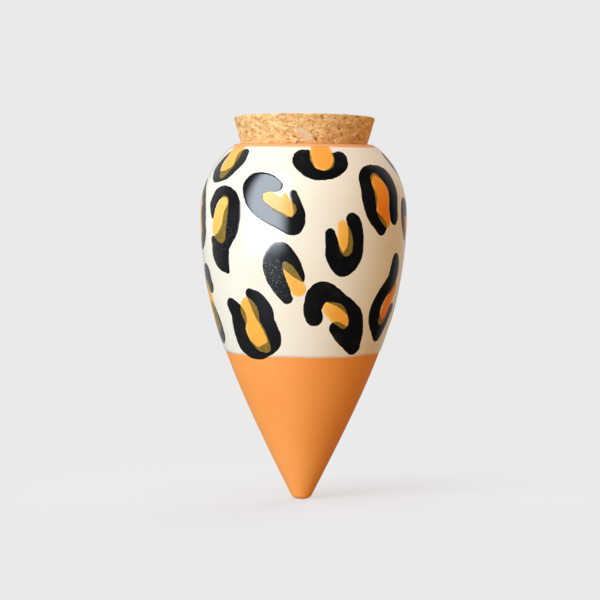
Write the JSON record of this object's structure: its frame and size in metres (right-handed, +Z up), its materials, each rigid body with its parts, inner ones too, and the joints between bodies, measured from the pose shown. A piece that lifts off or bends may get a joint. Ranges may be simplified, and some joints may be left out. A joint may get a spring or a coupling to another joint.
{
  "type": "irrigation olla",
  "caption": "Hollow terracotta spike pot with a glazed upper half and a tapered cork that lifts out; pushed into soil to the edge of its glaze, it seeps water to the roots.",
  "frame": {"origin": "on the pot's axis at the soil line, where the glaze coat ends and the bare spike begins", "axes": "+Z up along the axis towards the stopper; the pot is round, so +X and +Y are any square pair, and the pictured side faces -Y"},
  "size_m": [0.082, 0.082, 0.1522],
  "materials": {
    "terracotta": "bare fired clay, matte",
    "cream_glaze": "satin gloss, brushed spots in black, ochre and amber",
    "cork": "pressed cork granules, matte"
  },
  "bodies": {
    "vessel": {"clay_body": "terracotta", "glaze_coat": "cream_glaze"},
    "stopper": {"cork_stopper": "cork"}
  },
  "joints": [
    {"name": "stopper_lift", "type": "slide", "parent": "vessel", "child": "stopper", "axis": [0, 0, 1], "range_m": [0, 0.06]}
  ]
}
